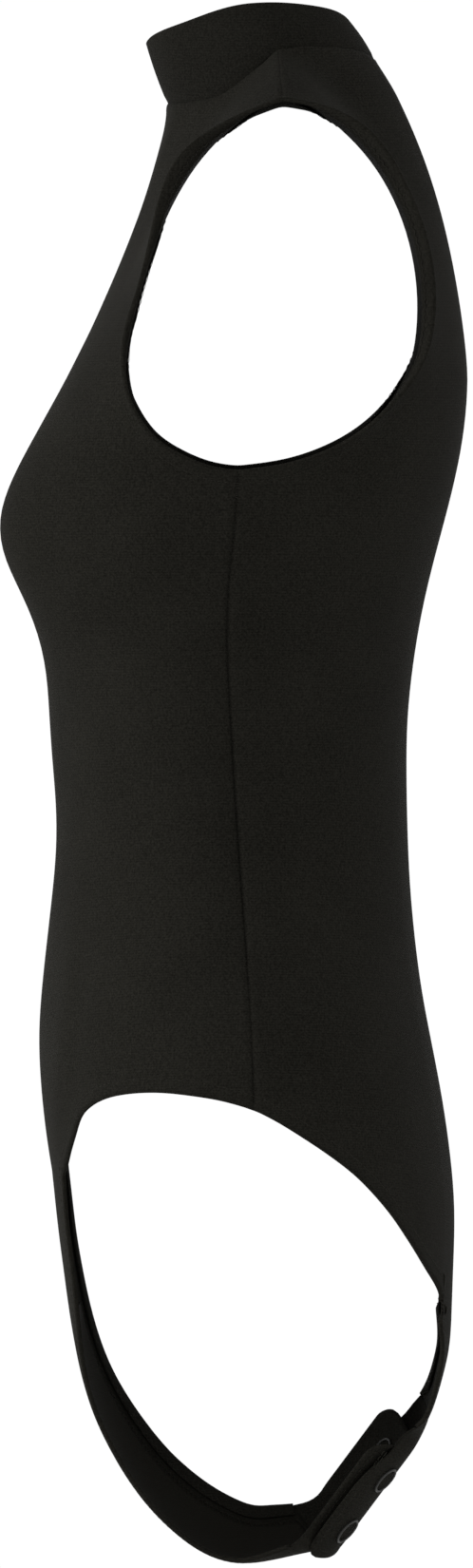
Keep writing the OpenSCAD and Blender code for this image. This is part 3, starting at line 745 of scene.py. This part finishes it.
def laid(track, k, reach, depth):
    """A place reach into the cloth from an edge and depth under its outer skin."""
    place, lean, to = (a[k] for a in track)
    if reach > 0:
        spot = skin.find_nearest(Vector(place + to * reach))[0]
        return np.array(spot) - lean * depth
    return place + to * reach - lean * depth


def sweep(name, rings, ring=False):
    """A closed solid through rings of points, each going round the same way."""
    rings = np.array(rings)
    count, size = rings.shape[:2]
    index = np.arange(count * size).reshape(count, size)
    index = np.hstack([index, index[:, :1]])
    if ring:
        index = np.vstack([index, index[:1]])
    faces = grid_faces(index).tolist()
    if not ring:
        faces += [index[0, :-1][::-1].tolist(), index[-1, :-1].tolist()]
    points = rings.reshape(-1, 3)
    a, b, c = points[index[0, 0]], points[index[0, 1]], points[index[1, 0]]
    outward = np.cross(b - a, c - a) @ (a - rings[0].mean(axis=0))
    if outward < 0:
        faces = [f[::-1] for f in faces]
    return new_object(name, points, faces)


def edge_band(name, track, profile, ring=False):
    """A band along an edge, its profile given as reach into the cloth and depth under the skin."""
    rings = [[laid(track, k, reach, depth) for reach, depth in profile] for k in range(len(track[0]))]
    return sweep(name, rings, ring)


strand_guide = np.array([0.31, 0.87, 0.38])      # no thread runs this way


def strands(name, lines, radius, sides=6):
    """Threads as thin round tubes, one for each line of points."""
    points, faces = [], []
    for line in lines:
        line = np.asarray(line)
        run = unit(np.gradient(line, axis=0))
        side = unit(np.cross(run, strand_guide))
        up = np.cross(side, run)
        first = sum(len(p) for p in points)
        turns = np.linspace(0, 2 * math.pi, sides, endpoint=False)
        ring = (line[:, None] + radius * (np.cos(turns)[None, :, None] * side[:, None]
                                          + np.sin(turns)[None, :, None] * up[:, None]))
        points.append(ring.reshape(-1, 3))
        index = first + np.arange(len(line) * sides).reshape(len(line), sides)
        index = np.hstack([index, index[:, :1]])
        faces += grid_faces(index, True).tolist()
        faces += [index[0, :-1].tolist(), index[-1, :-1][::-1].tolist()]
    return new_object(name, np.vstack(points), faces)


stitch, stitch_gap = 2.5 * MM, 0.8 * MM
thread = 0.17 * MM
STITCH_SHAPE = ((0.0, 0.35), (0.12, 0.0), (0.5, -0.12), (0.88, 0.0), (1.0, 0.35))


def stitch_row(stations, step):
    """For each stitch of a row, its points: the station, how far on towards the next, and the dip."""
    for start in np.arange(0, stations - 1 - stitch / step, (stitch + stitch_gap) / step):
        at = [(start + share * stitch / step, dip * MM) for share, dip in STITCH_SHAPE]
        yield [(int(a), a - int(a), dip) for a, dip in at]


def sewn_along(track, reach):
    """One raised thread for each stitch of a row that lies reach into the cloth from an edge."""
    last = len(track[0]) - 1
    for points in stitch_row(last + 1, track_step):
        yield [laid(track, k, reach, dip) * (1 - on) + laid(track, min(k + 1, last), reach, dip) * on
               for k, on, dip in points]


def overlocked(track, inner, outer, depth):
    """One thread that runs to and fro over a raw edge."""
    return [laid(track, k, inner if k % 2 else outer, depth) for k in range(len(track[0]))]


hem_fold = [(0.15, 0.05), (-0.3, 0.14), (-0.55, 0.5), (-0.62, 1.1), (-0.5, 1.75), (-0.1, 2.15),
            (1.6, 2.3), (7.3, 2.25), (7.8, 2.05), (7.8, 1.7), (7.3, 1.55), (1.2, 1.55), (0.2, 1.4),
            (0.12, 0.98)]
hem_fold = [(reach * MM, depth * MM) for reach, depth in hem_fold]
overlock_in, overlock_out, hem_inside = 5.4 * MM, 8.1 * MM, 2.45 * MM
hem_thread = knit_finish("black sewing thread", (0.0105, 0.0100, 0.0080), (0.022, 0.021, 0.0175),
                         pitch=0.3 * MM, rough=0.7)
tracks = {}
for side, name in ((1, "left"), (-1, "right")):
    for part, find, ring in (("armhole", arm_track, True), ("leg", leg_track, False)):
        track = tracks[name, part] = find(side)
        hem = edge_band(f"{name}_{part}_hem_fold", track, hem_fold, ring)
        dress(hem, body_jersey, "body_jersey", f"{name}_{part}_hem")
        row = strands(f"{name}_{part}_hem_stitches", sewn_along(track, stitch_in), thread)
        dress(row, hem_thread, "body_jersey")
        cover = overlocked(track, overlock_in, overlock_out, hem_inside)
        cover = strands(f"{name}_{part}_overlock", [cover], thread, sides=5)
        dress(cover, hem_thread, "body_jersey")


# ---- Elastic in the hems ----------------------------------------------------------------------
# Thin black elastic lies inside each turned hem, between the panel and the turning: 5 mm wide
# round the armholes and 6 mm round the legs.

def elastic_finish():
    """Ribbed rubber thread wound with black yarn."""
    finish, shader, place = new_finish("black elastic", 0.2)
    ribs = courses(place, 1.1 * MM, "DIAGONAL", 0.6)
    fuzz = grain(place, 0.7 * MM)
    plug(shader, "Base Color", shade(place, 0.6 * ribs + 0.4 * fuzz, (0.007, 0.007, 0.006),
                                     (0.018, 0.0175, 0.0155)))
    plug(shader, "Roughness", 0.62 + 0.1 * fuzz)
    raise_bump(shader, place, ribs, 0.2 * MM)
    return finish


elastic = elastic_finish()
tape_over, tape_under, tape_from = 1.0 * MM, 1.45 * MM, 0.9 * MM
for side in ("left", "right"):
    for part, node, width in (("armhole", "armhole_tape", 5 * MM), ("leg", "leg_elastic", 5.8 * MM)):
        tape_to = tape_from + width
        flat_tape = [(tape_from, tape_over), (tape_to, tape_over),
                     (tape_to, tape_under), (tape_from, tape_under)]
        tape = edge_band(f"{side}_{node}_inside", tracks[side, part], flat_tape, part == "armhole")
        dress(tape, elastic, "elastic_tape", f"{side}_{node}")


# ---- Side and shoulder seams ------------------------------------------------------------------
# The panels are overlocked together at the sides, with the allowance pressed to the back, and
# each shoulder seam is stayed with a narrow tape. A bar of stitches holds each armpit.

def seam_track(find, side, inner, skip_low=0, skip_high=0):
    """Stations along a seam of the back panel, less a stretch at each end."""
    track = even_track(*edge_and_cloth(back, find(back, side), inner))
    keep = slice(int(skip_low / track_step), len(track[0]) - int(skip_high / track_step))
    return [a[keep] for a in track]


allowance = [(0.2, 1.0), (6.6, 1.0), (7.0, 1.25), (7.0, 1.6), (6.6, 1.85), (0.2, 1.85), (-0.3, 1.6),
             (-0.3, 1.2)]
allowance = [(reach * MM, depth * MM) for reach, depth in allowance]
shoulder_stay = [(reach * 0.98, 0.72 * depth + 0.3 * MM) for reach, depth in allowance]
side_ends, stay_low, stay_high = 9 * MM, 3 * MM, 10 * MM
side_overlock = (1.5 * MM, 7.4 * MM, 2.0 * MM)
tack_half, tack_tall, tack_rows, tack_drop = 1.7 * MM, 7 * MM, 8, 9.5 * MM
TACK_SHAPE = ((-1, 0.7), (-0.8, 0.05), (0, -0.25), (0.8, 0.05), (1, 0.7))
for side, name in ((1, "left"), (-1, "right")):
    col = last_col if side > 0 else 0
    beside = back.panel_index[:seam_row + 1, col - 2 * side]
    seam = seam_track(seam_line, side, beside, side_ends, side_ends)
    turned = edge_band(f"{name}_side_allowance_cloth", seam, allowance)
    dress(turned, body_jersey, "body_jersey", f"{name}_side_allowance")
    cover = strands(f"{name}_side_overlock", [overlocked(seam, *side_overlock)], thread, sides=5)
    dress(cover, hem_thread, "body_jersey")
    row = back.panel_index[-3]
    first = int(np.argmax(neck_cols))
    inner = row[last_col - first:] if side > 0 else row[:first + 1][::-1]
    top = seam_track(shoulder_line, side, inner, stay_low, stay_high)
    stay = edge_band(f"{name}_shoulder_tape_inside", top, shoulder_stay)
    dress(stay, elastic, "elastic_tape", f"{name}_shoulder_tape")
    place, lean, to = seam_track(seam_line, side, beside)
    armpit = len(place) - 1 - tack_drop / track_step
    bars = []
    for number in range(tack_rows):
        at = armpit + (number / (tack_rows - 1) - 0.5) * tack_tall / track_step
        k = int(at)
        spot = place[k] * (1 - at + k) + place[k + 1] * (at - k)
        bars.append([spot + to[k] * tack_half * half - lean[k] * dip * MM for half, dip in TACK_SHAPE])
    tack = strands(f"{name}_armpit_bar_tack", bars, 1.4 * thread)
    dress(tack, hem_thread, "body_jersey")


# ---- Collar -----------------------------------------------------------------------------------
# A mock-neck collar: one band of the same jersey folded double with the fold at the rim, eased on
# to the neckline with an overlocked seam. It stands up by itself and bows out a little.

frame_collar_wall = 2.6 * MM
near, loops, collar_mesh = read_skin("collar", frame_collar_wall)
collar_loops = sorted((np.array([tuple(v.co) for v in loop]) for loop in loops),
                      key=lambda loop: loop[:, 2].mean())
collar_mesh.free()
collar_points, collar_bow, collar_wave = 240, 0.6 * MM, 0.45 * MM
collar_height, neck_groove, groove_spread, tuck = 34 * MM, 0.5 * MM, 1.5 * MM, 1.2 * MM
collar_wave_size, collar_passes = 28 * MM, 6


def by_angle(loop):
    """A ring of points as a smooth curve, at even angles round its middle from the front."""
    centre = (loop.max(axis=0) + loop.min(axis=0)) / 2
    angles = np.arctan2(loop[:, 0], -(loop[:, 1] - centre[1])) % (2 * math.pi)
    order = np.argsort(angles)
    angles, loop = angles[order], loop[order]
    angles = np.concatenate([angles - 2 * math.pi, angles, angles + 2 * math.pi])
    loop = np.vstack([loop] * 3)
    at = np.linspace(0, 2 * math.pi, collar_points, endpoint=False)
    ring = np.stack([np.interp(at, angles, loop[:, k]) for k in range(3)], axis=1)
    for _ in range(collar_passes):
        ring = (np.roll(ring, 1, axis=0) + 2 * ring + np.roll(ring, -1, axis=0)) / 4
    return ring


base_ring, rim_ring = (by_angle(loop) for loop in (collar_loops[0], collar_loops[-1]))
rise_way = unit(rim_ring - base_ring)
round_way = unit(np.roll(base_ring, -1, axis=0) - np.roll(base_ring, 1, axis=0))
out_way = unit(np.cross(round_way, rise_way))
collar_ply, collar_gap = 1.0 * MM, 0.35 * MM
collar_in = 2 * collar_ply + collar_gap
fold_turns = np.linspace(0, math.pi, 9)
up_side = (-0.085, -0.02, 0.04, 0.1, 0.2, 0.35, 0.5, 0.65, 0.8, 0.9)
fold_top, fold_squeeze = 0.975, 0.03


def collar_ply_path(half):
    """Once over the collar, outside to inside: share of the height, and depth in metres."""
    out = collar_in / 2 - half
    top = [(fold_top + fold_squeeze * math.sin(q) * half / (collar_in / 2),
            collar_in / 2 - half * math.cos(q)) for q in fold_turns]
    return [(t, out) for t in up_side] + top + [(t, collar_in - out) for t in up_side[::-1]]


collar_profile = collar_ply_path(collar_in / 2) + collar_ply_path(collar_gap / 2)[::-1]
rings = []
for k in range(collar_points):
    ring = []
    for t, depth in collar_profile:
        bow = collar_bow * math.sin(math.pi * min(max(t, 0), 1))
        spot = base_ring[k] * (1 - t) + rim_ring[k] * t
        wave = collar_wave * noise.noise(Vector(spot / collar_wave_size)) * smooth_step(t * 2)
        dip = neck_groove * bell(t * collar_height, groove_spread) + tuck * (t < -0.05)
        ring.append(spot + out_way[k] * (bow + wave - dip - depth))
    rings.append(ring)
# The collar is the body's own jersey. Its colours are made 18 % darker here as painted shade.
collar_painted_shade = 0.82
collar_jersey = knit_finish("black collar jersey with painted shade", tuple(collar_painted_shade * c for c in black_dark),
                            tuple(collar_painted_shade * c for c in black_light))
collar = dress(sweep("collar_band", rings, ring=True), collar_jersey, "collar_jersey", "collar")
neck_low, neck_high, neck_inside = -0.4 * MM, 2.4 * MM, 2.6 * MM
neck_cover = [base_ring[k] + rise_way[k] * (neck_low if k % 2 else neck_high)
              - out_way[k] * neck_inside for k in range(collar_points)]
neck_sewn = dress(strands("neck_seam_overlock", [neck_cover + neck_cover[:1]], thread, sides=5),
                  hem_thread, "collar_jersey")


# ---- Gusset lining ----------------------------------------------------------------------------
# A second layer of jersey inside the crotch strip, overlocked down along both sides and left open
# at the front, where it stands off a little.

lining_from, lining_to, lining_reach, open_rows, open_steep = 4, 15, 2.0, 1.2, 1.6
lining_under, lining_thick, lining_lift = 1.15 * MM, 0.7 * MM, 2.6 * MM
row_pick = np.where((front.strip_rows >= lining_from) & (front.strip_rows <= lining_to))[0]
col_pick = np.where(np.abs(STRIP_COLS - STRIP) <= lining_reach)[0]
lined = front.strip_index[np.ix_(row_pick, col_pick)]
facing = front.normals[lined]
open_end = np.clip(1 - (front.strip_rows[row_pick] - lining_from) / open_rows, 0, 1) ** 2
middle_part = 1 - np.abs(STRIP_COLS[col_pick] - STRIP) / lining_reach
lift = lining_lift * open_end[:, None] * smooth_step(open_steep * middle_part)[None]
lining_skin = front.points[lined] - facing * (lining_under + lift[..., None])
lining_index = np.arange(len(row_pick) * len(col_pick)).reshape(len(row_pick), len(col_pick))
lining_jersey = knit_finish("black lining jersey", (0.0058, 0.0054, 0.0042),
                            (0.0112, 0.0106, 0.0085), pitch=0.9 * MM)
lining = thickened("gusset_lining_cloth", lining_skin.reshape(-1, 3), grid_faces(lining_index, True),
                   lining_thick)
dress(lining, lining_jersey, "lining_jersey", "gusset_lining")
lining_edges, lining_step = [], 1.5 * MM
lining_in, lining_out, lining_inside = 1.8 * MM, -1.0 * MM, lining_thick + 0.22 * MM
for col, way in ((0, 1), (-1, -1)):
    edge = lining_skin[:, col]
    place, lean, to = even_track(edge, facing[:, col], lining_skin[:, col + 3 * way] - edge,
                                 lining_step)
    lining_edges.append([place[k] + to[k] * (lining_in if k % 2 else lining_out)
                         - lean[k] * lining_inside for k in range(len(place))])
lining_sewn = dress(strands("gusset_overlock", lining_edges, thread, sides=5), hem_thread,
                    "lining_jersey")


# ---- Closure tab and flap ---------------------------------------------------------------------
# The strips end in two layers that overlap on the diagonal: a tab on the front strip, and over it
# on the outside a flap on the back strip. Each is faced, padded a little and edge-stitched, with
# round corners at its free end.

layer = 1.95 * MM
edge_drop, edge_soft, edge_thin = 0.5 * MM, 1.8 * MM, 1.0 * MM
edge_sewn, sewn_sink, sewn_thin, sewn_spread = 4.5 * MM, 0.25 * MM, 0.4 * MM, 1.0 * MM
seam_after, seam_step, closure_step = 8 * MM, 1.5 * MM, 1.0 * MM


def closure_layer(name, cut, radius, start, stop, body, joint_place):
    """The cloth of a tab, from the last rows of its strip to its rounded free end."""
    way = 1 if stop > start else -1
    tail = cut.strip_rows - cut.joint_row
    first = cut.root_rows - 1
    along = start + (stop - start) * np.clip(tail / tail[-1], 0, 1)
    to_end = np.abs(stop - along)
    share = (STRIP_COLS - STRIP) / STRIP
    grid, edge_gap = [], []
    for row in range(first, len(tail)):
        near_end = max(corner_round - to_end[row], 0) if tail[row] > 0 else 0
        half = band_half - corner_round + math.sqrt(corner_round ** 2 - near_end ** 2)
        half *= cut.narrow[row]
        built = np.array([on_band(radius, along[row], half * a) for a in share])
        mix = smooth_step(tail[row])
        grid.append(cut.strip[row] * (1 - mix) + built * mix)
        gap = np.minimum(half * (1 - np.abs(share)), to_end[row])
        edge_gap.append(gap if tail[row] > -root_part else gap + edge_soft)
    grid, edge_gap = np.array(grid), np.array(edge_gap)
    settled = smooth_step((tail[first:] + root_part) / (1 + root_part))[:, None]
    index = np.arange(grid.shape[0] * grid.shape[1]).reshape(grid.shape[:2])
    faces = grid_faces(index, cut.front)
    points = grid.reshape(-1, 3)
    lean = point_normals(points, faces)
    soft = np.clip(1 - edge_gap / edge_soft, 0, 1) ** 2 * settled
    sewn = bell(edge_gap - edge_sewn, sewn_spread) * settled
    sink = edge_drop * soft + sewn_sink * sewn
    points = points - lean * sink.reshape(-1, 1)
    depth = jersey + (layer - jersey) * settled - edge_thin * soft - sewn_thin * sewn
    cloth = thickened(name, points, faces, depth.reshape(-1))
    dress(cloth, body_jersey, "body_jersey", body, body=None)
    tuple(joint_place - 3 * MM * way * band_along)
    tuple(joint_place + 5 * MM * way * band_along)
    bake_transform(cloth)
    return cloth


def closure_seam(radius, start, stop, inset):
    """The path of the edge stitching: up one side, round the free end and down the other."""
    way = 1 if stop > start else -1
    half, end, turn = band_half - inset, stop - way * inset, corner_round - inset * 0.5
    quarter = np.linspace(0, math.pi / 2, 8)
    side = [(a, half) for a in np.arange(start + way * seam_after, end - way * turn, way * seam_step)]
    side += [(end - way * turn * (1 - math.sin(q)), half - turn * (1 - math.cos(q)))
             for q in quarter]
    side += [(end, c) for c in np.arange(half - turn, 0, -seam_step)]
    path = side + [(a, -c) for a, c in side[::-1]]
    spots = np.array([on_band(radius, a, c) for a, c in path])
    centre = np.array([band_axis + band_along * a for a, _ in path])
    return even_track(spots, unit(spots - centre), centre - spots, closure_step)


def stitches_on(track, out):
    """Stitches that follow a track itself, raised towards one face."""
    place, lean, _ = track
    last = len(place) - 1
    for points in stitch_row(last + 1, closure_step):
        yield [place[k] * (1 - on) + place[min(k + 1, last)] * on - out * lean[k] * dip
               for k, on, dip in points]


outer_thread, inner_thread = 0.28 * MM, 0.6 * MM
layers = (("front_tab_cloth", front, tab_radius, tab_from, tab_to, "front_tab", tab_hinge_place,
           (0.082, 0.075)),
          ("back_flap_cloth", back, flap_radius, flap_hinge, flap_to, "back_flap",
           flap_hinge_place, (0.082, 0.087)))
for name, cut, radius, start, stop, body, joint_place, flat in layers:
    cloth = closure_layer(name, cut, radius, start, stop, body, joint_place)
    lines = []
    for face, out in ((radius - outer_thread, 1), (radius - layer + inner_thread, -1)):
        lines += stitches_on(closure_seam(face, start, stop, edge_sewn), out)
    sewn = strands(f"{body}_stitches", lines, thread)
    dress(sewn, hem_thread, "body_jersey", body=body)


# ---- Snaps ------------------------------------------------------------------------------------
# Four open prong-ring snaps of enamelled brass. The tab carries the sockets on its outer face and
# their rings on the inner one, and the flap carries the studs inside and their rings outside.

def snap_finish():
    """Dark grey enamel, worn thin over the metal."""
    finish, shader, place = new_finish("grey enamelled snap metal", 0.25)
    worn = grain(place, 0.6 * MM, 4.0)
    chips = patches(place, 1.6 * MM, 3.0, 0.52, 0.7)
    plug(shader, "Base Color", shade(place, 0.5 * worn + 0.5 * chips, (0.012, 0.012, 0.0115),
                                     (0.040, 0.039, 0.037)))
    plug(shader, "Metallic", 0.35 + 0.4 * chips)
    plug(shader, "Roughness", 0.42 + 0.2 * worn)
    raise_bump(shader, place, worn, 0.05 * MM, 0.4)
    return finish


snap_metal = snap_finish()
for number in range(1, 5):
    for part in ("socket", "socket_ring", "stud", "stud_ring"):
        frame["nodes"][f"{part}_{number}"].material_slots[0].material = snap_metal
